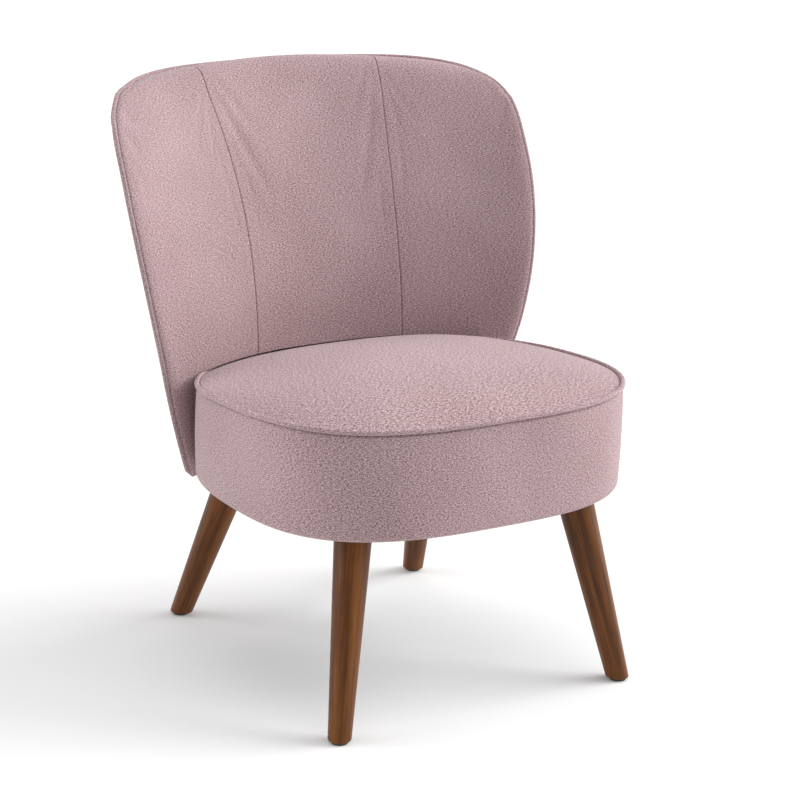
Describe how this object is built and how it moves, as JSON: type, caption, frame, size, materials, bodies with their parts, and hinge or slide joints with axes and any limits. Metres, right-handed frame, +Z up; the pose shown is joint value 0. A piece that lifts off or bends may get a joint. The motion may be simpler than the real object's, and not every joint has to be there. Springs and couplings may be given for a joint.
{
  "type": "armless upholstered chair",
  "caption": "Armless upholstered accent chair: round-cornered drum seat, wrap-around leaning back with piped edge, and splayed tapered round wooden legs.",
  "frame": {"origin": "on the floor, under the middle of the chair's outer box", "axes": "+Z up, the chair faces -Y, +X to the right of someone looking at its front"},
  "size_m": [0.6522, 0.642, 0.7848],
  "materials": {
    "upholstery": "matte woven",
    "piping": "matte woven",
    "walnut": "satin stained",
    "pine": "sawn",
    "plywood": "sanded",
    "foam": "matte",
    "wadding": "matte",
    "webbing": "matte woven",
    "lining": "matte non-woven",
    "steel": "zinc plated",
    "nylon": "matte"
  },
  "bodies": {
    "root": {"back_bolt_1": "steel", "back_bolt_2": "steel", "back_bolt_3": "steel", "back_bolt_4": "steel", "back_centre_panel": "upholstery", "back_foam": "foam", "back_left_panel": "upholstery", "back_outer_cover": "upholstery", "back_piping": "piping", "back_rear_wadding": "wadding", "back_right_panel": "upholstery", "back_shell": "plywood", "cross_strap_1": "webbing", "cross_strap_2": "webbing", "cross_strap_3": "webbing", "dust_cover": "lining", "glide_front_left": "nylon", "glide_front_right": "nylon", "glide_rear_left": "nylon", "glide_rear_right": "nylon", "leg_bolt_front_left": "steel", "leg_bolt_front_right": "steel", "leg_bolt_rear_left": "steel", "leg_bolt_rear_right": "steel", "leg_front_left": "walnut", "leg_front_right": "walnut", "leg_nut_front_left": "steel", "leg_nut_front_right": "steel", "leg_nut_rear_left": "steel", "leg_nut_rear_right": "steel", "leg_rear_left": "walnut", "leg_rear_right": "walnut", "long_strap_1": "webbing", "long_strap_2": "webbing", "long_strap_3": "webbing", "long_strap_4": "webbing", "rim_block_front": "pine", "rim_block_left": "pine", "rim_block_rear": "pine", "rim_block_right": "pine", "seat_band_cover": "upholstery", "seat_board": "plywood", "seat_foam": "foam", "seat_piping": "piping", "seat_rim": "plywood", "seat_side_foam": "foam", "seat_top_cover": "upholstery"}
  },
  "joints": []
}
